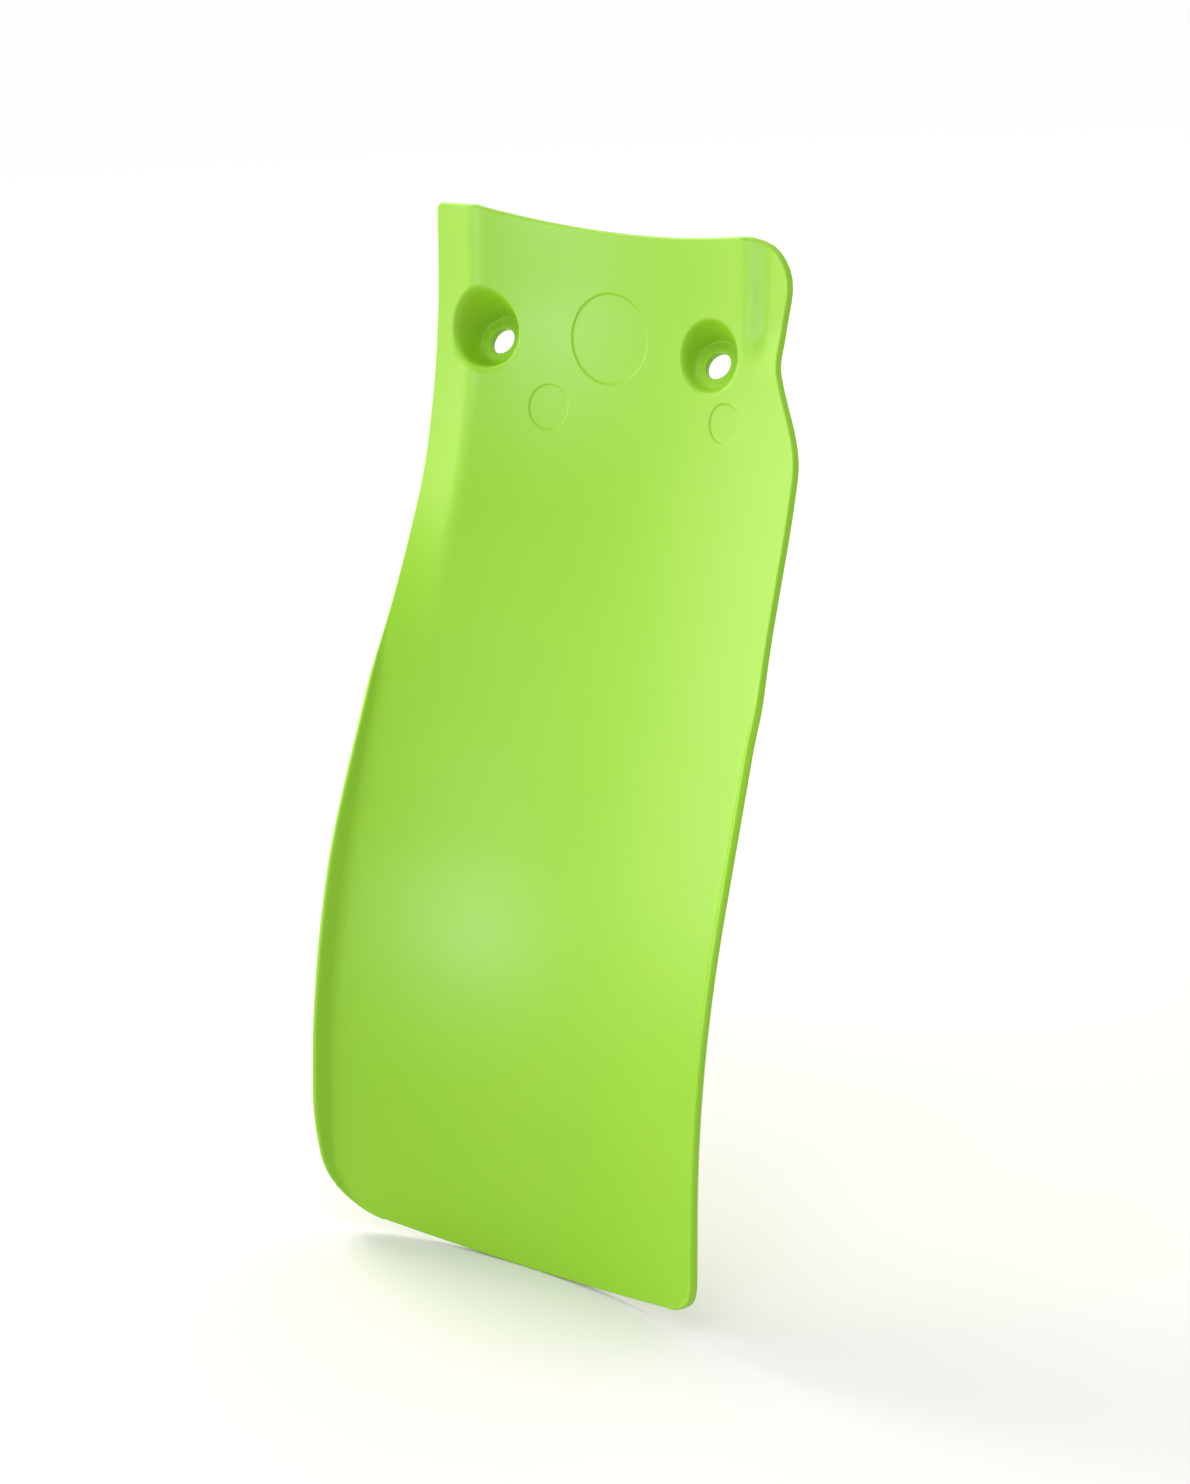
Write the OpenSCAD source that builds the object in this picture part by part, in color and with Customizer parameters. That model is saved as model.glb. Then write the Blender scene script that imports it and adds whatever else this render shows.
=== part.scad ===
// Rear shock mud flap: one thin plastic moulding with a hollow front face,
// turned-up side lips and two tilted screw cups.
// X runs across the flap, the hollow face looks along -Y, and +Z is up.
// The origin is midway between the two screw seats.

/* [Flap] */
// Width across the lower part, without the lips
flap_width = 116; // [100:1:150]
// Height from the lowest point to the top corners
flap_height = 271.5; // [225:0.5:330]
// Wall thickness
wall = 2; // [1.6:0.1:3.2]
// Radius of the hollow across the front face
trough_radius = 178; // [140:1:260]
// How far the bottom comes forward of the top
lean = 45; // [20:0.5:55]
// Height where the lower bend starts
lower_bend_start = 38; // [10:1:60]
// Length of the lower bend
lower_bend_length = 73; // [30:1:80]
// Depth below the top where the upper bend ends
upper_bend_drop = 16; // [8:1:60]
// Length of the upper bend
upper_bend_length = 60; // [20:1:70]

/* [Outline] */
// How far the middle of the bottom edge hangs below its ends
bottom_bow = 7; // [0:0.1:10]
// How far the top edge dips below its highest point, at the edge of the left band
top_dip = 5; // [0:0.1:8]
// Offset of that dip's lowest point from the centreline
top_dip_x = 1.5; // [-10:0.5:15]
// How far the top edge falls across the left band
band_fall = 0.4; // [0:0.1:3]
// Radius of the top left corner
top_left_radius = 1.5; // [1:0.1:12]
// Radius of the top right corner
top_right_radius = 17; // [4:0.5:20]
// Radius of the bottom left corner
bottom_left_radius = 14.5; // [6:0.5:24]
// Radius of the bottom right corner
bottom_right_radius = 9; // [4:0.5:24]
// How far the right edge draws in at its notch
notch_depth = 10.2; // [0:0.1:12]
// Depth of the notch below the top corners
notch_drop = 28.5; // [24:0.5:40]

// How far the right edge flares out again above its notch
flange_flare = 3; // [0:0.1:5]

/* [Top flanges] */
// Width of the left band that is turned back
band_width = 12.5; // [8:0.1:16]
// Slope that the left band gains over the hollow face
band_slope = 0.42; // [0.2:0.01:0.6]
// Width of the right flange, with its step
flange_width = 14.2; // [11:0.1:18]
// Width of the step beside the right flange
step_width = 8; // [5:0.5:10]
// How far the right flange is stepped back
step_back = 2; // [1:0.1:3]

/* [Side lips] */
// Length of each side lip where it is longest
lip_length = 5.2; // [3:0.1:9]
// Angle between a full lip and the flap's width
lip_angle = 60; // [35:1:75]

/* [Screw cups] */
// Offset of the left cup from the centreline
left_cup_x = -42.2; // [-44:0.1:-30]
// Offset of the right cup from the centreline
right_cup_x = 25.8; // [20:0.1:36]
// Depth of the cups' mouths below the top corners
cup_drop = 32.3; // [27:0.1:38]
// Diameter of each cup at its floor
cup_floor_d = 13.4; // [12.4:0.1:16]
// Diameter of each cup at its upright mouth
cup_mouth_d = 19; // [16.4:0.1:21]
// Depth of each cup along its screw
cup_depth = 7; // [5:0.1:10]
// Upward tilt of the screws
cup_tilt = 30; // [0:1:35]
// Diameter of the screw holes
hole_d = 7; // [5:0.1:8.4]

/* [Moulded discs] */
// Diameter of the large disc
large_disc_d = 23; // [16:0.5:28]
// Diameter of the small left disc
left_disc_d = 11.5; // [8:0.5:15]
// Diameter of the small right disc
right_disc_d = 10; // [8:0.5:13]
// Depth of the discs
disc_depth = 0.25; // [0.1:0.05:0.5]

/* [Hidden] */
$fn = 72;

half = flap_width / 2;
// A lip never shrinks below this length, so that the edge keeps its points.
lip_least = 0.8;
// Length over which the slope changes at the edge of the left band
crease = 4;
// Shares and heights that shape the blends
lip_top = flap_height - 92;
lip_full = flap_height - 172;
lip_foot = 0;
lip_foot_full = 38;
band_foot = flap_height - 123;
band_full = flap_height - 65;
step_foot = flap_height - notch_drop - 6.5;
step_full = step_foot + 10;
notch_run = 31.5;
flare_top = flap_height - 9;
// The cups' walls run on past the mouths, to this share of their depth, so that they cut the whole face.
cup_run = 1.5;
thin = 0.01;

function smooth(t) = let (c = min(1, max(0, t))) c * c * (3 - 2 * c);
function blend(z, low, high) = smooth((z - low) / (high - low));
// Distance gained by a slope that grows from 0 to 1 over a length and then stays
function ease_in(s, length) = s < 0 ? 0 : s < length ? s * s / (2 * length) : s - length / 2;

// Side view: where the middle of the front face lies at each height
upper_bend_start = flap_height - upper_bend_drop - upper_bend_length;
lean_slope = lean / (upper_bend_start + upper_bend_length / 2 - lower_bend_start - lower_bend_length / 2);
function middle_y(z) = lean_slope * (ease_in(z - lower_bend_start, lower_bend_length)
    - ease_in(z - upper_bend_start, upper_bend_length));

// Outline: half widths and the heights of the two ends
function round_in(d, r) = d >= r ? 0 : r - sqrt(r * r - (r - d) * (r - d));
function foot_z(x) = bottom_bow * pow(x / half, 2);
band_x = -half + band_width;
function head_z(x) = flap_height - (x < band_x ? band_fall * (band_x - x) / band_width
    : top_dip * (1 - pow((x - top_dip_x) / (band_x - top_dip_x), 2)));
function left_x(z) = -half + round_in(z - bottom_bow, bottom_left_radius)
    + round_in(flap_height - z, top_left_radius);
function right_x(z) = half - notch_depth * blend(z, flap_height - notch_drop - notch_run, flap_height - notch_drop)
    + flange_flare * blend(z, flap_height - notch_drop, flare_top)
    - round_in(z - bottom_bow, bottom_right_radius) - round_in(flap_height - z, top_right_radius);

// Cross section: the hollow, the band turned back on the left and the step on the right
step_x = half - notch_depth + flange_flare - flange_width;
function front_y(x, z) = middle_y(z) - x * x / (2 * trough_radius)
    + band_slope * blend(z, band_foot, band_full) * ease_in(band_x - x + crease / 2, crease)
    + step_back * blend(z, step_foot, step_full) * smooth((x - step_x) / step_width);

// Lips: length and angle at each height
function lip_share(z) = smooth((lip_top - z) / (lip_top - lip_full)) * blend(z, lip_foot, lip_foot_full);
function lip_now(z) = lip_least + (lip_length - lip_least) * lip_share(z);
function edge_angle(x, z) = let (e = 0.5) atan((front_y(x - sign(x) * e, z) - front_y(x, z)) / e);
function turn(x, z) = let (w = smooth(lip_share(z) * 3)) edge_angle(x, z) * (1 - w) + lip_angle * w;
function lip_point(x, z, height, s) = let (a = turn(x, z), reach = s * lip_now(z))
    [x + sign(x) * reach * cos(a), front_y(x, z) - reach * sin(a), height];

// Directions square to the face, towards the hollow side
function unit(v) = v / norm(v);
function face_normal(x, z) = let (e = 0.25)
    unit([(front_y(x + e, z) - front_y(x - e, z)) / (2 * e), -1, (front_y(x, z + e) - front_y(x, z - e)) / (2 * e)]);
function lip_normal(x, z) = let (a = turn(x, z), n = face_normal(x, z))
    unit([-sign(x) * sin(a), -cos(a), -n[2] / n[1] * cos(a)]);

// Rows climb from the bottom edge to the top edge, closer together at the corners.
function corner_rows(r, n) = [for (i = [0 : n - 1]) r * (1 - cos(90 * i / n))];
side_height = flap_height - bottom_bow;
low_end = max(bottom_left_radius, bottom_right_radius);
high_end = max(top_left_radius, top_right_radius);
high_rows = corner_rows(high_end, 5);
row_count = 34;
rows = concat(corner_rows(low_end, 6),
    [for (i = [0 : row_count]) low_end + (side_height - high_end - low_end) * i / row_count],
    [for (i = [len(high_rows) - 1 : -1 : 0]) side_height - high_rows[i]]);
// Columns cross the flap between its two edges, closer together beside the edges.
column_count = 26;
function spread(i) = let (t = 2 * i / column_count - 1) t * (1.18 - 0.18 * t * t);

// One row of [point, direction] pairs, from the tip of the left lip to the tip of the right lip
function row_pairs(d) = let (
        z = d + bottom_bow,
        share = d / side_height,
        a = left_x(z),
        b = right_x(z),
        height = function (x) foot_z(x) * (1 - share) + head_z(x) * share,
        lip = function (x, s) [lip_point(x, z, height(x), s), lip_normal(x, z)])
    concat([lip(a, 1), lip(a, 0.5)],
        [for (i = [0 : column_count]) let (
            x = (a + b) / 2 + (b - a) / 2 * spread(i),
            h = height(x),
            n = face_normal(x, h),
            at_edge = i == 0 || i == column_count)
            [[x, front_y(x, h), h], at_edge ? unit(n + lip_normal(x, z)) : n]],
        [lip(b, 0.5), lip(b, 1)]);

// A closed solid between two grids of points of the same size, the near one seen from -Y
module slab(near, far) {
    across = len(near[0]);
    up = len(near);
    shift = across * up;
    function at(j, i) = j * across + i;
    near_faces = [for (j = [0 : up - 2], i = [0 : across - 2])
        each [[at(j, i), at(j + 1, i), at(j + 1, i + 1)], [at(j, i), at(j + 1, i + 1), at(j, i + 1)]]];
    far_faces = [for (f = near_faces) [f[0], f[2], f[1]] + [shift, shift, shift]];
    // The rim is one closed walk round the grid.
    rim = concat([for (i = [0 : across - 2]) at(0, i)],
        [for (j = [0 : up - 2]) at(j, across - 1)],
        [for (i = [across - 1 : -1 : 1]) at(up - 1, i)],
        [for (j = [up - 1 : -1 : 1]) at(j, 0)]);
    rim_faces = [for (k = [0 : len(rim) - 1]) let (a = rim[k], b = rim[(k + 1) % len(rim)])
        each [[a, b, b + shift], [a, b + shift, a + shift]]];
    polyhedron(concat([for (row = near) each row], [for (row = far) each row]),
        concat(near_faces, far_faces, rim_faces));
}

module sheet() {
    grid = [for (d = rows) row_pairs(d)];
    slab([for (row = grid) [for (pair = row) pair[0]]],
        [for (row = grid) [for (pair = row) pair[0] - wall * pair[1]]]);
}

// Screw seats: both floors lie on one line across the flap.
mouth_z = flap_height - cup_drop;
seat_y = (front_y(left_cup_x, mouth_z) + front_y(right_cup_x, mouth_z)) / 2 + cup_depth * cos(cup_tilt);
seat_z = mouth_z - cup_depth * sin(cup_tilt);

// Places its children with their Z axis along a screw, pointing out of the cup.
module at_seat(x) {
    translate([x, seat_y, seat_z]) rotate([90 - cup_tilt, 0, 0]) children();
}

// Everything between two depths behind the front face, round one point of it
module layer(x, z, reach, near, far) {
    step = reach / 6;
    sides = [-reach : step : reach];
    slab([for (v = sides) [for (u = sides) [x + u, front_y(x + u, z + v) + near, z + v]]],
        [for (v = sides) [for (u = sides) [x + u, front_y(x + u, z + v) + far, z + v]]]);
}

// A cup's inside, or with a wall its outside: from the floor, square to the screw, to the upright mouth
module cup_form(x, cover) {
    ahead = cup_run * cup_depth;
    ahead_d = cup_floor_d + cup_run * (cup_mouth_d - cup_floor_d);
    hull() {
        at_seat(x) translate([0, 0, -cover]) cylinder(h = thin, d = cup_floor_d + 2 * cover);
        translate([x, seat_y - ahead * cos(cup_tilt), seat_z + ahead * sin(cup_tilt)]) rotate([90, 0, 0])
            cylinder(h = thin, d = ahead_d + 2 * cover);
    }
}

module cup_boss(x) {
    intersection() {
        cup_form(x, wall);
        layer(x, mouth_z, cup_mouth_d, wall / 2, 3 * cup_depth);
    }
}

module cup_hollow(x) {
    cup_form(x, 0);
    at_seat(x) translate([0, 0, -3 * wall]) cylinder(h = 6 * wall, d = hole_d);
}

// A round mark of even depth, square to the face where it lies
module disc(x, drop, d) {
    z = flap_height - drop;
    n = face_normal(x, z);
    intersection() {
        translate([x, front_y(x, z), z]) rotate([0, acos(n[2]), atan2(n[1], n[0])])
            cylinder(h = 2 * wall, d = d, center = true);
        layer(x, z, 0.6 * d, -2 * wall, disc_depth);
    }
}

module flap() {
    color("#a7de53") translate([-(left_cup_x + right_cup_x) / 2, -seat_y, -seat_z]) difference() {
        union() {
            sheet();
            cup_boss(left_cup_x);
            cup_boss(right_cup_x);
        }
        cup_hollow(left_cup_x);
        cup_hollow(right_cup_x);
        disc(-5.6, 31.7, large_disc_d);
        disc(-22.5, 50.4, left_disc_d);
        disc(32.9, 48.8, right_disc_d);
    }
}

flap();
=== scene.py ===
"""Mud flap for a rear shock: one moulding in lime green plastic, standing on its bottom edge."""
import math

import bmesh
import bpy
import numpy as np
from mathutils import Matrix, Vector


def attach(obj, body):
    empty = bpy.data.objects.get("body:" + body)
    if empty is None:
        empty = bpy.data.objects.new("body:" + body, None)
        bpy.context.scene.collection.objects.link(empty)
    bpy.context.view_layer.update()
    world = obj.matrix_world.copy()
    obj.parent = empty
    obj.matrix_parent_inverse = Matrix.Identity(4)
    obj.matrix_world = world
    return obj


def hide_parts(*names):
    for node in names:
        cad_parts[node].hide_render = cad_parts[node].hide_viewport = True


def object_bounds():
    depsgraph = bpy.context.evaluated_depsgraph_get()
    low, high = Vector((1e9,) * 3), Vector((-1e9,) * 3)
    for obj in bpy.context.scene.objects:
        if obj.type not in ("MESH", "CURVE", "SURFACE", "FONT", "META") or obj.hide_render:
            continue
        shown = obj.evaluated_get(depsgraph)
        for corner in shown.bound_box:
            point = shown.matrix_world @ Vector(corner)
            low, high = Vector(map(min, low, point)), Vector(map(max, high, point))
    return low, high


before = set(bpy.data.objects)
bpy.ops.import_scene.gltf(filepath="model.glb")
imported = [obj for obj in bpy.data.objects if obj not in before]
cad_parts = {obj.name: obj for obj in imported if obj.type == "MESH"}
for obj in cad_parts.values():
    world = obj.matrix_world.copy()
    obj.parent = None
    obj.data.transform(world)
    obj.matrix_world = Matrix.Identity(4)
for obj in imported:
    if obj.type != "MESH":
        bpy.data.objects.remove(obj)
cad_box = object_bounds()

# ---- The flap's blank ----
# The moulding laid flat: a plate with the outline of the flap, its side lips folded out,
# and rings of points where the screw cups and the round moulding marks will be.
# Sizes are in millimetres, heights are above the lowest point of the bottom edge.
WALL = 2.0
HALF = 58.0
HEIGHT = 271.5
BOW = 7.0
BAND_WIDTH = 12.5
BAND_FALL = 0.4
DIP = 5.0
DIP_X = 1.5
CORNERS = {"top_left": 1.5, "top_right": 17.0, "bottom_left": 14.5, "bottom_right": 9.0}
NOTCH_DEPTH = 10.2
NOTCH_DROP = 28.5
NOTCH_RUN = 31.5
FLARE = 3.0
LIP_LENGTH = 5.2
LIP_LEAST = 0.8
LIP_FOLD = 1.6
EDGE_RADIUS = 0.5
LIP_EDGE_RADIUS = 0.95
CUP_X = (-42.2, 25.8)
CUP_TILT = math.radians(30)
CUP_DEPTH = 7.0
CUP_DROP = 32.3
CUP_FLOOR_R = 6.7
HOLE_R = 3.5
HOLE_BEVEL = 0.3
LEAN = 45.0
LOWER_BEND = (38.0, 73.0)
UPPER_BEND = (HEIGHT - 76, 60.0)
HOLLOW_R = 178.0
# The lips fade out from LIP_FULL up to LIP_TOP, and from LIP_FOOT down to nothing at the bottom edge.
LIP_TOP = HEIGHT - 92
LIP_FULL = HEIGHT - 172
LIP_FOOT = 38.0
FLARE_TOP = HEIGHT - 9
# Each mark: its place across, its drop from the top and its radius
MARKS = ((-5.6, 31.7, 11.5), (-22.5, 50.4, 5.75), (32.9, 48.8, 5.0))
MARK_EDGE = 0.14
MARK_MARGIN = 0.5


def smooth(t):
    c = np.clip(t, 0.0, 1.0)
    return c * c * (3 - 2 * c)


def blend(z, low, high):
    return smooth((z - low) / (high - low))


def round_in(d, r):
    """How far a corner of radius r has drawn in at a distance d from its edge."""
    d = np.clip(d, 0.0, r)
    return r - np.sqrt(r * r - (r - d) ** 2)


def lip_share(z):
    return smooth((LIP_TOP - z) / (LIP_TOP - LIP_FULL)) * blend(z, 0, LIP_FOOT)


def lip_turn(z):
    """How much of its full angle a lip has at a height, from 0 to 1."""
    return float(smooth(lip_share(z) * 3))


def lip_length(z):
    return LIP_LEAST + (LIP_LENGTH - LIP_LEAST) * lip_share(z) + LIP_FOLD / 2 * lip_turn(z)


def edge_radius(z):
    return EDGE_RADIUS + (LIP_EDGE_RADIUS - EDGE_RADIUS) * lip_share(z) * blend(z, BOW + 1, LIP_FOOT)


def folds(z):
    """The two lines where the lips turn up, left and right, at a height."""
    low, high = z - BOW - EDGE_RADIUS, HEIGHT - EDGE_RADIUS - z
    r = {name: size - EDGE_RADIUS for name, size in CORNERS.items()}
    left = -HALF + round_in(low, r["bottom_left"]) + round_in(high, r["top_left"])
    right = HALF - NOTCH_DEPTH * blend(z, HEIGHT - NOTCH_DROP - NOTCH_RUN, HEIGHT - NOTCH_DROP)
    right += FLARE * blend(z, HEIGHT - NOTCH_DROP, FLARE_TOP)
    right -= round_in(low, r["bottom_right"]) + round_in(high, r["top_right"])
    # The fold is a small round that starts this far inside its sharp line.
    inset = LIP_FOLD / 2 * lip_turn(z)
    return float(left) + inset, float(right) - inset


def gained(s, length):
    """Distance gained by a slope that grows from 0 to 1 over a length and then stays."""
    c = min(max(s, 0.0), length)
    return c * c / (2 * length) + max(s - length, 0.0)


# The screw axis lies in the YZ plane; both seats are on one line across the flap.
mouth_z = HEIGHT - CUP_DROP
lean_run = UPPER_BEND[0] + UPPER_BEND[1] / 2 - LOWER_BEND[0] - LOWER_BEND[1] / 2
bends = [gained(mouth_z - begin, length) for begin, length in (LOWER_BEND, UPPER_BEND)]
seat_y = LEAN / lean_run * (bends[0] - bends[1]) - sum(x * x for x in CUP_X) / (4 * HOLLOW_R)
seat_y += CUP_DEPTH * math.cos(CUP_TILT)
seat_z = mouth_z - CUP_DEPTH * math.sin(CUP_TILT)
middle_x = sum(CUP_X) / 2


class Blank:
    """Points of the flat plate, with what the forming has to know about each, and its faces."""

    KEYS = ("reach", "turn", "mark", "round", "seat_t")

    def __init__(self):
        self.points = []
        self.faces = []

    def point(self, x, depth, z, reach=0.0, turn=0.0, mark=0.0, ring=0.0, seat_t=0.0):
        self.points.append((x, depth, z, reach, turn, mark, ring, seat_t))
        return len(self.points) - 1

    def strip(self, a, b, closed=True):
        """Faces between two rows of points of the same length."""
        n = len(a)
        for k in range(n if closed else n - 1):
            m = (k + 1) % n
            self.faces.append((a[k], a[m], b[m], b[k]))


# Rows of the lattice climb the sides; columns run between the folds and on along the lips.
COLUMN_STEP = 1.35
ROW_STEP = 2.0
MARK_ROW = 224.6
LIP_COLUMNS = 5
ANCHORS = (-26.0, 16.0)
nominal = (-HALF, HALF - NOTCH_DEPTH + FLARE)
side = HEIGHT - BOW
low_r = max(CORNERS["bottom_left"], CORNERS["bottom_right"]) - EDGE_RADIUS
high_r = max(CORNERS["top_left"], CORNERS["top_right"]) - EDGE_RADIUS
quarter = [1 - math.cos(math.radians(a)) for a in range(0, 90, 9)]
start, stop = EDGE_RADIUS + low_r, side - EDGE_RADIUS - high_r
rises = [EDGE_RADIUS + low_r * q for q in quarter]
# One row runs between the cups and the small marks below them.
for begin, end in ((start, MARK_ROW), (MARK_ROW, stop)):
    count = round((end - begin) / ROW_STEP)
    rises += [begin + (end - begin) * i / count for i in range(count)]
rises += [stop] + [side - EDGE_RADIUS - high_r * q for q in reversed(quarter)]
column_count = round((nominal[1] - nominal[0]) / COLUMN_STEP)
columns = np.linspace(nominal[0], nominal[1], column_count + 1)


def row_height(x, rise):
    """Rows follow the bowed bottom edge low down and the dipped top edge high up."""
    share = rise / side
    crease = -HALF + BAND_WIDTH
    top = HEIGHT - DIP * (1 - ((x - DIP_X) / (crease - DIP_X)) ** 2)
    if x < crease:
        top = HEIGHT - BAND_FALL * (crease - x) / BAND_WIDTH
    return BOW * (x / HALF) ** 2 * (1 - share) + top * share


def column_x(x, left, right):
    """A lattice column keeps its place in the middle and follows the outline near the sides."""
    if x < ANCHORS[0]:
        return ANCHORS[0] + (left - ANCHORS[0]) * (x - ANCHORS[0]) / (nominal[0] - ANCHORS[0])
    if x > ANCHORS[1]:
        return ANCHORS[1] + (right - ANCHORS[1]) * (x - ANCHORS[1]) / (nominal[1] - ANCHORS[1])
    return x


def lattice_row(rise):
    """(x, z, reach, turn) of one row, from the end of the left lip to the end of the right lip."""
    z = rise + BOW
    left, right = folds(z)
    run = lip_length(z) - edge_radius(z)
    turn = lip_turn(z)
    lip = [run * (i + 1) / LIP_COLUMNS for i in range(LIP_COLUMNS)]
    row = [(left, row_height(left, rise), -s, turn) for s in reversed(lip)]
    for x in columns:
        at = column_x(x, left, right)
        row.append((at, row_height(at, rise), 0.0, turn))
    return row + [(right, row_height(right, rise), s, turn) for s in lip]


plate = [lattice_row(rise) for rise in rises]
last_row, last_column = len(plate) - 1, len(plate[0]) - 1
blank = Blank()
layers = []
for depth in (0.0, 1.0):
    layers.append([[blank.point(x, depth, z, reach, turn) for x, z, reach, turn in row] for row in plate])


def window(x0, x1, z0, z1, x_at, z_at):
    """Lattice indices of the rectangle that just holds a box round a cup or a mark."""
    j_mid = min(range(last_row), key=lambda j: abs(plate[j][last_column // 2][1] - z_at))
    i0 = max(i for i in range(last_column) if plate[j_mid][i][0] <= x0)
    i1 = min(i for i in range(last_column) if plate[j_mid][i][0] >= x1)
    i_mid = min(range(last_column), key=lambda i: abs(plate[j_mid][i][0] - x_at))
    j0 = max(j for j in range(last_row) if plate[j][i_mid][1] <= z0)
    j1 = min(j for j in range(last_row) if plate[j][i_mid][1] >= z1)
    return i0, i1, j0, j1


def loop_of(i0, i1, j0, j1):
    loop = [(j0, i) for i in range(i0, i1)] + [(j, i1) for j in range(j0, j1)]
    return loop + [(j1, i) for i in range(i1, i0, -1)] + [(j, i0) for j in range(j1, j0, -1)]


removed = ([], [])
# Each cup opens from a floor square to the screw to an upright round mouth in the hollow face.
CUP_MOUTH_R = 9.5
CUP_RUN = 1.5
AHEAD = CUP_RUN * CUP_DEPTH
AHEAD_R = CUP_FLOOR_R + CUP_RUN * (CUP_MOUTH_R - CUP_FLOOR_R)
FLOOR_RINGS = [3.8, 4.3, 4.8, 5.2, 5.5, 5.8, 6.1, 6.3]
WALL_RINGS = 14
RIM_RINGS = [0.0, 0.12, 0.26, 0.42, 0.6, 0.8, 1.05, 1.35, 1.7]
SPREAD = 4
# How far each cup's rings reach into the lattice: to both sides, down and up from the seat
CUP_SIDE, CUP_BELOW, CUP_ABOVE = 11.8, 7.6, 18.6
RING_DROP = CUP_DEPTH * math.cos(CUP_TILT) * math.sin(CUP_TILT)


def cup_rings(angle):
    """Ring radii at an angle: the floor, then closely over the wall, then round the mouth."""
    s = math.sin(angle)
    reach = AHEAD_R * math.cos(CUP_TILT) / math.hypot(math.cos(CUP_TILT), math.sin(CUP_TILT) * s)
    steep = (AHEAD + math.tan(CUP_TILT) * reach * s) / (reach - CUP_FLOOR_R)
    mouth = (CUP_DEPTH + CUP_FLOOR_R * steep) / (steep - math.tan(CUP_TILT) * s)
    first = FLOOR_RINGS[-1]
    wall = [first + (mouth - first) * (k + 1) / (WALL_RINGS + 1) for k in range(WALL_RINGS)]
    return FLOOR_RINGS + wall + [mouth + step for step in RIM_RINGS]


for cup_x in CUP_X:
    cell = window(cup_x - CUP_SIDE, cup_x + CUP_SIDE, seat_z - CUP_BELOW, seat_z + CUP_ABOVE,
                  cup_x, seat_z)
    loop = loop_of(*cell)
    holes = []
    for depth in (0.0, 1.0):
        removed[int(depth)].append(cell)
        outer = [layers[int(depth)][j][i] for j, i in loop]
        angles = []
        for j, i in loop:
            x, z = plate[j][i][:2]
            t = (z - seat_z) * math.cos(CUP_TILT) - RING_DROP
            angles.append(math.atan2(t, x - cup_x))
        spokes = [cup_rings(a) for a in angles]
        rings = []
        for radii in zip(*spokes):
            rings.append([blank.point(cup_x + r * math.cos(a), depth, mouth_z, ring=1.0,
                                      seat_t=r * math.sin(a)) for r, a in zip(radii, angles)])
        for s in range(1, SPREAD):
            share = s / SPREAD
            ring = []
            for (j, i), a, spoke in zip(loop, angles, spokes):
                x, z, _, turn = plate[j][i]
                near = cup_x + spoke[-1] * math.cos(a)
                ring.append(blank.point(near + (x - near) * share, depth, z, turn=turn, ring=1 - share,
                                        seat_t=spoke[-1] * math.sin(a)))
            rings.append(ring)
        rings.append(outer)
        for a, b in zip(rings, rings[1:]):
            blank.strip(a, b)
        holes.append(rings[0])
    # The wall of the hole, with a small round at both ends
    steps = [(HOLE_BEVEL * math.sin(q), HOLE_BEVEL * (1 - math.cos(q))) for q in (0.52, 1.05, 1.57)]
    profile = [(HOLE_R + HOLE_BEVEL - o, w / WALL) for o, w in steps]
    profile += [(r, 1 - w) for r, w in reversed(profile)]
    wall = [holes[0]]
    for r, depth in profile:
        wall.append([blank.point(cup_x + r * math.cos(a), depth, mouth_z, ring=1.0,
                                 seat_t=r * math.sin(a)) for a in angles])
    wall.append(holes[1])
    for a, b in zip(wall, wall[1:]):
        blank.strip(a, b)

# Round marks that the moulding pins left in the hollow face
for mark_x, drop, r in MARKS:
    mark_z = HEIGHT - drop
    far = r + MARK_MARGIN
    cell = window(mark_x - far, mark_x + far, mark_z - far, mark_z + far, mark_x, mark_z)
    removed[0].append(cell)
    loop = loop_of(*cell)
    angles = [math.atan2(plate[j][i][1] - mark_z, plate[j][i][0] - mark_x) for j, i in loop]
    profile = [(r * share, 1.0) for share in (0.12, 0.25, 0.4, 0.55, 0.7, 0.85)]
    profile += [(r - 3 * MARK_EDGE, 1.0), (r - MARK_EDGE, 1.0), (r, 0.5), (r + MARK_EDGE, 0.0)]
    profile += [(r + 0.4, 0.0)]
    rings = []
    for radius, depth in profile:
        rings.append([blank.point(mark_x + radius * math.cos(a), 0.0, mark_z + radius * math.sin(a),
                                  mark=depth) for a in angles])
    rings.append([layers[0][j][i] for j, i in loop])
    for a, b in zip(rings, rings[1:]):
        blank.strip(a, b)
    middle = blank.point(mark_x, 0.0, mark_z, mark=1.0)
    n = len(angles)
    for k in range(n):
        blank.faces.append((middle, rings[0][k], rings[0][(k + 1) % n]))

for layer, cells in zip(layers, removed):
    for j in range(last_row):
        for i in range(last_column):
            if any(i0 <= i < i1 and j0 <= j < j1 for i0, i1, j0, j1 in cells):
                continue
            blank.faces.append((layer[j][i], layer[j][i + 1], layer[j + 1][i + 1], layer[j + 1][i]))

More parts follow.
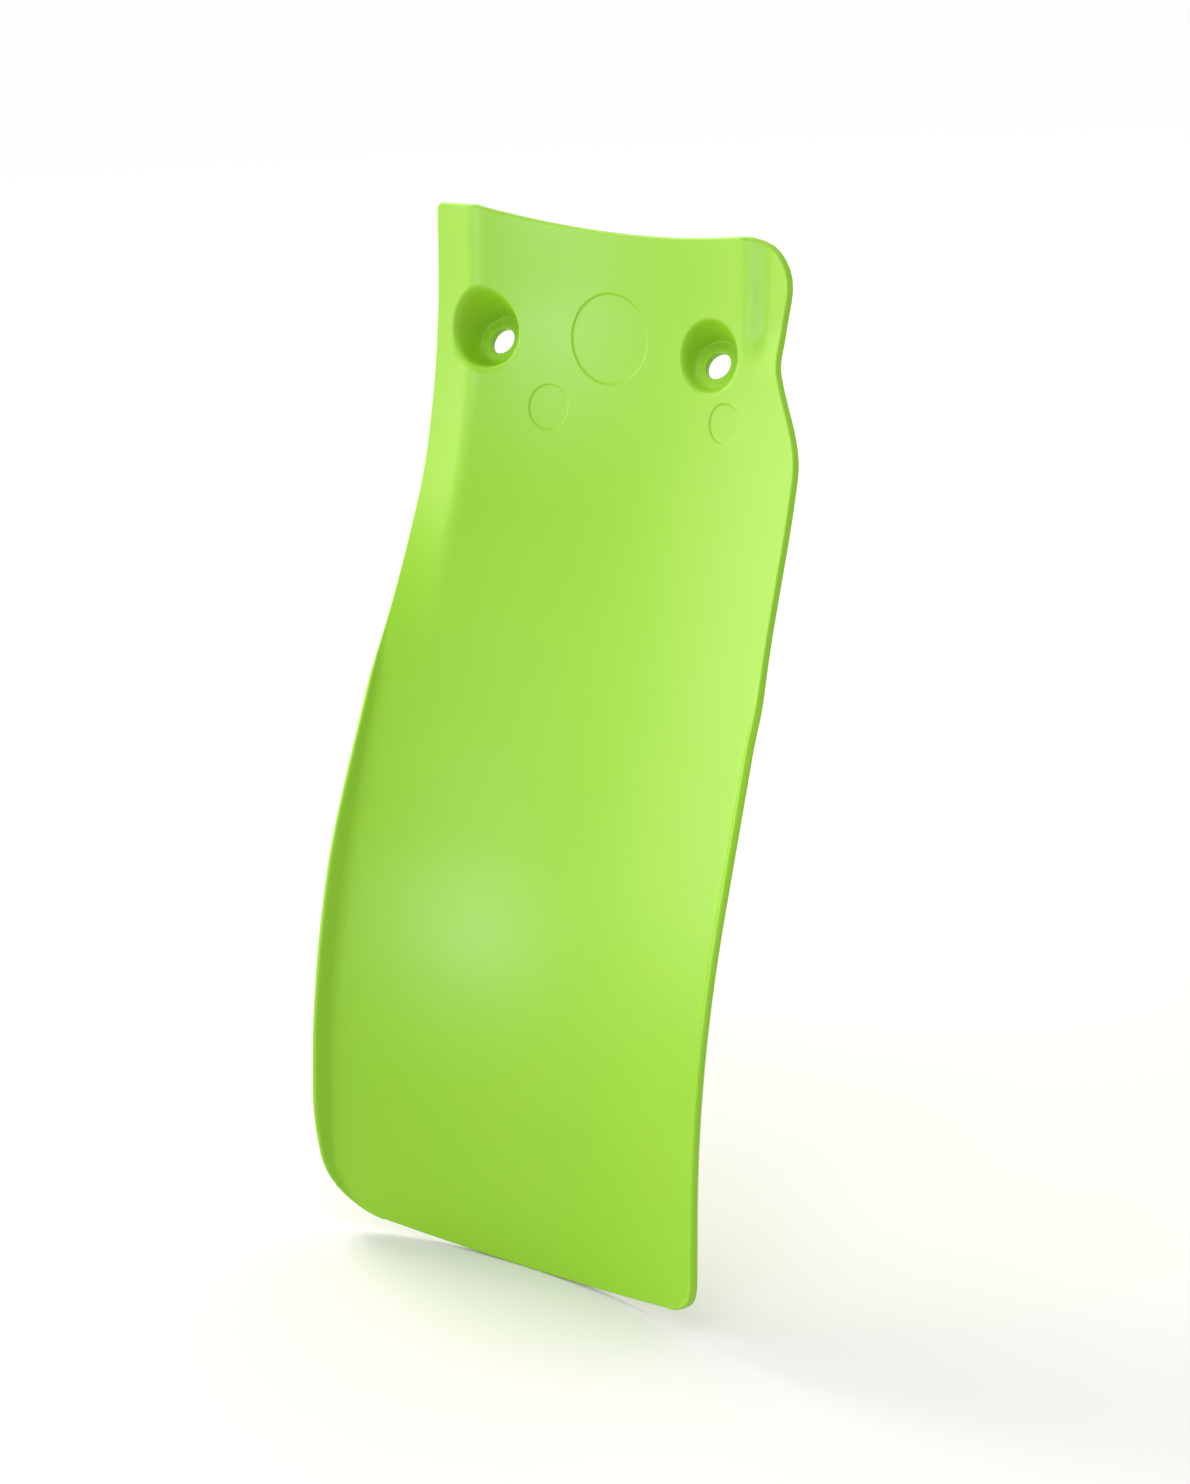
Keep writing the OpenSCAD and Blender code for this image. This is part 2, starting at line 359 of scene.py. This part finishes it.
# The edge all round: a rounded rim from the hollow face to the back
walk = loop_of(0, last_column, 0, last_row)
flat = np.array([(plate[j][i][0] + plate[j][i][2], plate[j][i][1]) for j, i in walk])
along = np.roll(flat, -1, axis=0) - np.roll(flat, 1, axis=0)
outward = np.stack([along[:, 1], -along[:, 0]], axis=1)
outward /= np.linalg.norm(outward, axis=1)[:, None]
ROUND_STEPS = 5
rim = [[layers[0][j][i] for j, i in walk]]
arc = [(math.sin(a), 1 - math.cos(a)) for a in np.linspace(0, math.pi / 2, ROUND_STEPS + 1)[1:]]
for out, sink, back in [(*p, False) for p in arc] + [(*p, True) for p in reversed(arc)]:
    ring = []
    for (j, i), at, normal in zip(walk, flat, outward):
        z_side = rises[j] + BOW
        radius = float(edge_radius(z_side))
        x, z = at + normal * radius * out
        left, right = plate[j][LIP_COLUMNS][0], plate[j][last_column - LIP_COLUMNS][0]
        held = min(max(x, left), right)
        depth = radius * sink / WALL
        ring.append(blank.point(held, 1 - depth if back else depth, z, reach=x - held, turn=plate[j][i][3]))
    rim.append(ring)
rim.append([layers[1][j][i] for j, i in walk])
for a, b in zip(rim, rim[1:]):
    blank.strip(a, b)

flat_mesh = bpy.data.meshes.new("flap")
table = np.array(blank.points)
flat_mesh.from_pydata(table[:, :3].tolist(), [], blank.faces)
for k, key in enumerate(Blank.KEYS):
    layer = flat_mesh.attributes.new(key, "FLOAT", "POINT")
    layer.data.foreach_set("value", np.ascontiguousarray(table[:, 3 + k], dtype=np.float32))


# ---- The forming ----
# What the mould does to the blank: hollows it across, leans it back between two bends, slants
# the left band, steps the right flange, folds the lips forward and sinks the screw cups.
class Wire:
    """A number in a node tree; the usual operators add the Math nodes."""

    def __init__(self, tree, socket):
        self.tree = tree
        self.socket = socket

    def math(self, operation, *others):
        made = self.tree.nodes.new("ShaderNodeMath")
        made.operation = operation
        for slot, value in zip(made.inputs, (self, *others)):
            join(self.tree, value, slot)
        return Wire(self.tree, made.outputs[0])

    def __add__(self, other):
        return self.math("ADD", other)

    def __sub__(self, other):
        return self.math("SUBTRACT", other)

    def __mul__(self, other):
        return self.math("MULTIPLY", other)

    def __truediv__(self, other):
        return self.math("DIVIDE", other)

    def __rsub__(self, other):
        return (self * -1) + other

    def __rtruediv__(self, other):
        return self.math("POWER", -1) * other

    def __neg__(self):
        return self * -1

    __radd__ = __add__
    __rmul__ = __mul__

    def least(self, other):
        return self.math("MINIMUM", other)

    def most(self, other):
        return self.math("MAXIMUM", other)

    def clamp(self):
        return self.most(0).least(1)

    def size(self):
        return self.math("ABSOLUTE")


def join(tree, value, slot):
    """Puts a number, a wire or a socket into an input."""
    if isinstance(value, Wire):
        tree.links.new(value.socket, slot)
    elif isinstance(value, bpy.types.NodeSocket):
        tree.links.new(value, slot)
    else:
        slot.default_value = value


def node(tree, kind, settings=None, **values):
    """Adds a node: its settings first, then its inputs by name, with _ for a space."""
    made = tree.nodes.new(kind)
    for key, value in (settings or {}).items():
        setattr(made, key, value)
    for key, value in values.items():
        join(tree, value, made.inputs[key.replace("_", " ")])
    return made


FORMING = {
    "Wall": WALL,
    "Hollow Radius": HOLLOW_R,
    "Lean": LEAN,
    "Lower Bend Start": LOWER_BEND[0],
    "Lower Bend Length": LOWER_BEND[1],
    "Upper Bend Start": UPPER_BEND[0],
    "Upper Bend Length": UPPER_BEND[1],
    "Band Edge": -HALF + BAND_WIDTH,
    "Band Slope": 0.42,
    "Band Crease": 4.0,
    "Step Start": nominal[1] - 14.2,
    "Step Width": 8.0,
    "Step Back": 2.0,
    "Lip Angle": math.radians(60),
    "Lip Fold": LIP_FOLD,
    "Cup Floor": CUP_FLOOR_R,
    "Cup Run": AHEAD,
    "Cup Run Radius": AHEAD_R,
    "Cup Wall": WALL,
    "Cup Rim Blend": 2.6,
    "Cup Floor Blend": 2.4,
    "Mark Depth": 0.22,
}

tree = bpy.data.node_groups.new("flap_forming", "GeometryNodeTree")
tree.interface.new_socket("Geometry", in_out="INPUT", socket_type="NodeSocketGeometry")
for key, value in FORMING.items():
    tree.interface.new_socket(key, in_out="INPUT", socket_type="NodeSocketFloat").default_value = value
tree.interface.new_socket("Geometry", in_out="OUTPUT", socket_type="NodeSocketGeometry")
entry = tree.nodes.new("NodeGroupInput")
size = {key: Wire(tree, entry.outputs[key]) for key in FORMING}


def told(key):
    made = node(tree, "GeometryNodeInputNamedAttribute", {"data_type": "FLOAT"}, Name=key)
    return Wire(tree, made.outputs["Attribute"])


def ease_in(s, length):
    """Distance gained by a slope that grows from 0 to 1 over a length and then stays."""
    c = s.most(0).least(length)
    return c * c / (length * 2) + (s - length).most(0)


def smooth_wire(t):
    c = t.clamp()
    return c * c * (3 - c * 2)


def between(z, low, high):
    return smooth_wire((z - low) / (high - low))


BAND_FOOT, BAND_FULL = HEIGHT - 123, HEIGHT - 65
STEP_FOOT = HEIGHT - NOTCH_DROP - 6.5
STEP_FULL = STEP_FOOT + 10
lean_slope = size["Lean"] / (size["Upper Bend Start"] + size["Upper Bend Length"] / 2
                             - size["Lower Bend Start"] - size["Lower Bend Length"] / 2)


def face_y(x, z):
    """Where the hollow face lies, from front to back."""
    middle = lean_slope * (ease_in(z - size["Lower Bend Start"], size["Lower Bend Length"])
                           - ease_in(z - size["Upper Bend Start"], size["Upper Bend Length"]))
    hollow = x * x / (size["Hollow Radius"] * 2)
    band = between(z, BAND_FOOT, BAND_FULL) * size["Band Slope"]
    band = band * ease_in(size["Band Edge"] - x + size["Band Crease"] / 2, size["Band Crease"])
    step = between(z, STEP_FOOT, STEP_FULL) * size["Step Back"]
    step = step * smooth_wire((x - size["Step Start"]) / size["Step Width"])
    return middle - hollow + band + step


place = node(tree, "ShaderNodeSeparateXYZ", Vector=tree.nodes.new("GeometryNodeInputPosition").outputs[0])
x, depth, flat_height = (Wire(tree, place.outputs[k]) for k in range(3))
reach, turn, mark, ring, seat_t = (told(key) for key in Blank.KEYS)
z = flat_height
# A cup's ring is given along the slope of its seat, so its height on the face is found in steps.
RING_STEPS = 3
for _ in range(RING_STEPS):
    y_there = face_y(x, z) + depth * size["Wall"]
    ring_z = seat_z + (seat_t - (y_there - seat_y) * math.sin(CUP_TILT)) / math.cos(CUP_TILT)
    z = flat_height * (1 - ring) + ring_z * ring
NEAR = 0.2
y = face_y(x, z)
slope_x = (face_y(x + NEAR, z) - face_y(x - NEAR, z)) / (2 * NEAR)
slope_z = (face_y(x, z + NEAR) - face_y(x, z - NEAR)) / (2 * NEAR)

# Lips: the direction turns over the fold and then stays
start_angle = slope_x.math("ARCTANGENT")
far = reach.size()
swing = (-(reach.math("SIGN") * size["Lip Angle"]) - start_angle) * turn
mean_angle = start_angle + swing * ease_in(far, size["Lip Fold"]) / far.most(0.001)
end_angle = start_angle + swing * (far / size["Lip Fold"]).least(1)
out_x = x + reach * mean_angle.math("COSINE")
out_y = y + reach * mean_angle.math("SINE")

# Thickness: square to the face, or straight back where the rings of a cup have to stay round
flat_z = slope_z * end_angle.math("COSINE")
longer = (flat_z * flat_z + 1).math("SQRT")
through = depth * size["Wall"]
square = 1 - ring
straight = longer / end_angle.math("COSINE")
out_x = out_x - through * square * end_angle.math("SINE") / longer
out_y = out_y + through * (square * end_angle.math("COSINE") / longer + ring * straight)
out_z = z - through * square * flat_z / longer
out_y = out_y + mark * size["Mark Depth"]

# Screw cups: the face is pulled along each screw's axis, down to a slanted wall and a flat floor
cos_t, sin_t = math.cos(CUP_TILT), math.sin(CUP_TILT)
floor_r = size["Cup Floor"] + depth * size["Cup Wall"]
run_r = size["Cup Run Radius"] + depth * size["Cup Wall"]
for cup_x in CUP_X:
    px, py, pz = out_x - cup_x, out_y - seat_y, out_z - seat_z
    height = pz * sin_t - py * cos_t
    across = pz * cos_t + py * sin_t
    radius = (px * px + across * across).math("SQRT").most(0.01)
    bearing = across / radius
    far_r = run_r * cos_t / (cos_t * cos_t + bearing * bearing * (sin_t * sin_t)).math("SQRT")
    steep = (size["Cup Run"] + far_r * bearing * (sin_t / cos_t)) / (far_r - floor_r)
    rise = (radius - floor_r) * steep
    soft = (size["Cup Floor Blend"] - rise.size()).most(0)
    rise = rise.most(0) + soft * soft / (size["Cup Floor Blend"] * 4)
    cone = rise - depth * size["Wall"]
    soft = (size["Cup Rim Blend"] - (cone - height).size()).most(0)
    pulled = cone.least(height) - soft * soft / (size["Cup Rim Blend"] * 4)
    out_y = out_y - (pulled - height) * cos_t
    out_z = out_z + (pulled - height) * sin_t

METRE = 0.001
formed = node(tree, "ShaderNodeCombineXYZ", X=(out_x - middle_x) * METRE, Y=(out_y - seat_y) * METRE,
              Z=(out_z - seat_z) * METRE)
moved = node(tree, "GeometryNodeSetPosition", Geometry=entry.outputs["Geometry"], Position=formed.outputs[0])
shaded = node(tree, "GeometryNodeSetShadeSmooth", Geometry=moved.outputs[0])
real = node(tree, "GeometryNodeRealizeInstances", Geometry=shaded.outputs[0])
finish = node(tree, "GeometryNodeSetMaterial", Geometry=real.outputs[0])
leave = tree.nodes.new("NodeGroupOutput")
tree.links.new(finish.outputs[0], leave.inputs[0])


# ---- The flap's plastic ----
# Lime green polypropylene, satin from the mould: a faint mottle in the colour and in the gloss,
# a soft orange peel and a fine grain in the surface. It is used on the one formed piece.
LIME_DEEP = (0.200, 0.436, 0.009, 1)
LIME_PALE = (0.226, 0.452, 0.015, 1)
plastic = bpy.data.materials.new("flap_plastic")
plastic.use_nodes = True
look = plastic.node_tree
look.nodes.clear()
spot = look.nodes.new("ShaderNodeTexCoord").outputs["Object"]


def noise(scale, detail, roughness=0.5):
    made = node(look, "ShaderNodeTexNoise", Vector=spot, Scale=scale, Detail=detail, Roughness=roughness)
    return Wire(look, made.outputs[0])


mottle = noise(24.0, 3.0)
tint = node(look, "ShaderNodeMix", {"data_type": "RGBA"})
join(look, mottle, tint.inputs["Factor"])
join(look, LIME_DEEP, tint.inputs[6])
join(look, LIME_PALE, tint.inputs[7])
peel = noise(420.0, 2.0)
grain = noise(2600.0, 2.0)
bump_peel = node(look, "ShaderNodeBump", Strength=0.04, Distance=0.0004, Height=peel)
bump = node(look, "ShaderNodeBump", Strength=0.10, Distance=0.0001, Height=grain, Normal=bump_peel.outputs[0])
rough = 0.31 + noise(60.0, 4.0) * 0.08
shell = node(look, "ShaderNodeBsdfPrincipled", Base_Color=tint.outputs[2], Roughness=rough, IOR=1.49,
             Specular_IOR_Level=0.36, Normal=bump.outputs[0])
node(look, "ShaderNodeOutputMaterial", Surface=shell.outputs[0])
finish.inputs["Material"].default_value = plastic

blank_piece = bpy.data.objects.new("flap_blank", flat_mesh)
bpy.context.scene.collection.objects.link(blank_piece)
press = blank_piece.modifiers.new("forming", "NODES")
press.node_group = tree
for item in tree.interface.items_tree:
    if item.in_out == "INPUT" and item.name in FORMING:
        press[item.identifier] = FORMING[item.name]
bpy.context.view_layer.update()
pressed = blank_piece.evaluated_get(bpy.context.evaluated_depsgraph_get())
formed_mesh = bpy.data.meshes.new_from_object(pressed)
bpy.data.objects.remove(blank_piece)
formed_mesh.name = "moulded_flap"
for key in Blank.KEYS:
    formed_mesh.attributes.remove(formed_mesh.attributes[key])
work = bmesh.new()
work.from_mesh(formed_mesh)
bmesh.ops.remove_doubles(work, verts=work.verts, dist=1e-6)
bmesh.ops.recalc_face_normals(work, faces=work.faces)
work.to_mesh(formed_mesh)
work.free()
flap = bpy.data.objects.new("moulded_flap", formed_mesh)
bpy.context.scene.collection.objects.link(flap)
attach(flap, "root")
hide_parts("flap")

# ---- The studio ----
# A sheet of pale paper under the bottom edge, with painted shade: the paper is darker near the flap so that
# the shadows there come out deeper. White light all round, warm soft boxes on the left, a cool one low in
# front of the face, and a long lens.
FLOOR = 6.0
# The near colour is painted shade: darker paper round the flap that deepens its shadows. The far colour is
# the plain paper.
PAPER_PAINTED_SHADE = (0.66, 0.66, 0.66, 1)
PAPER_FAR = (0.98, 0.98, 0.98, 1)
floor_z = cad_box[0][2]
floor_mesh = bpy.data.meshes.new("floor")
floor_mesh.from_pydata([(-FLOOR, -FLOOR, floor_z), (FLOOR, -FLOOR, floor_z), (FLOOR, FLOOR, floor_z),
                        (-FLOOR, FLOOR, floor_z)], [], [(0, 1, 2, 3)])
floor = bpy.data.objects.new("floor", floor_mesh)
bpy.context.scene.collection.objects.link(floor)
pale = bpy.data.materials.new("floor_paper")
pale.use_nodes = True
paper = pale.node_tree
paper.nodes.clear()
spread = node(paper, "ShaderNodeVectorMath", {"operation": "LENGTH"},
              Vector=node(paper, "ShaderNodeTexCoord").outputs["Object"])
# Painted shade: towards the flap the paper goes from the far colour to the darker near one.
share = node(paper, "ShaderNodeMapRange", {"interpolation_type": "SMOOTHSTEP"},
             Value=spread.outputs["Value"], From_Min=0.3, From_Max=1.7)
shade = node(paper, "ShaderNodeMix", {"data_type": "RGBA"})
join(paper, share.outputs[0], shade.inputs["Factor"])
join(paper, PAPER_PAINTED_SHADE, shade.inputs[6])
join(paper, PAPER_FAR, shade.inputs[7])
sheet = node(paper, "ShaderNodeBsdfPrincipled", Base_Color=shade.outputs[2], Roughness=0.95,
             Specular_IOR_Level=0.1)
node(paper, "ShaderNodeOutputMaterial", Surface=sheet.outputs[0])
floor_mesh.materials.append(pale)

world = bpy.data.worlds.new("studio")
bpy.context.scene.world = world
world.use_nodes = True
world.node_tree.nodes["Background"].inputs["Color"].default_value = (1, 1, 1, 1)
world.node_tree.nodes["Background"].inputs["Strength"].default_value = 1.0


def lamp(name, bearing, pitch, distance, width, height, power, colour=(1, 1, 1),
         aim=(0.0, -0.02, -0.1)):
    """A soft box at a bearing left of the flap's front and a pitch above it, both in degrees."""
    turn, rise = math.radians(bearing), math.radians(pitch)
    out = Vector((-math.sin(turn) * math.cos(rise), -math.cos(turn) * math.cos(rise), math.sin(rise)))
    light = bpy.data.lights.new(name, "AREA")
    light.shape = "RECTANGLE"
    light.size, light.size_y, light.energy, light.color = width, height, power, colour
    made = bpy.data.objects.new(name, light)
    made.location = Vector(aim) + out * distance
    made.rotation_euler = out.to_track_quat("Z", "Y").to_euler()
    bpy.context.scene.collection.objects.link(made)


WARM, COOL = (1.0, 0.93, 0.80), (0.78, 0.93, 1.0)
lamp("side_box", 68, 12, 1.5, 1.1, 0.8, 12, WARM)
lamp("high_side_box", 100, 48, 1.5, 0.7, 0.7, 16, WARM)
lamp("high_front_box", -25, 62, 1.5, 0.5, 0.5, 3)
LOWER_BEND_SPOT = (-0.011, -0.043, -0.149)
lamp("glow_box", 23, 2, 2.4, 0.66, 0.3, 15, COOL, LOWER_BEND_SPOT)

AZIMUTH, PITCH, DISTANCE, LENS = math.radians(36), math.radians(16), 0.827, 78.85
camera_data = bpy.data.cameras.new("camera")
camera_data.lens = LENS
camera_data.sensor_width = 36
camera = bpy.data.objects.new("camera", camera_data)
toward = Vector((math.sin(AZIMUTH) * math.cos(PITCH), -math.cos(AZIMUTH) * math.cos(PITCH), math.sin(PITCH)))
# The point that the lens looks at, from the middle of the seats
aim = Vector((8.55 - middle_x, 18.35 - seat_y, 141.4 - seat_z)) * METRE
camera.location = aim + toward * DISTANCE
camera.rotation_euler = toward.to_track_quat("Z", "Y").to_euler()
bpy.context.scene.collection.objects.link(camera)
bpy.context.scene.camera = camera
bpy.context.scene.view_settings.view_transform = "Standard"
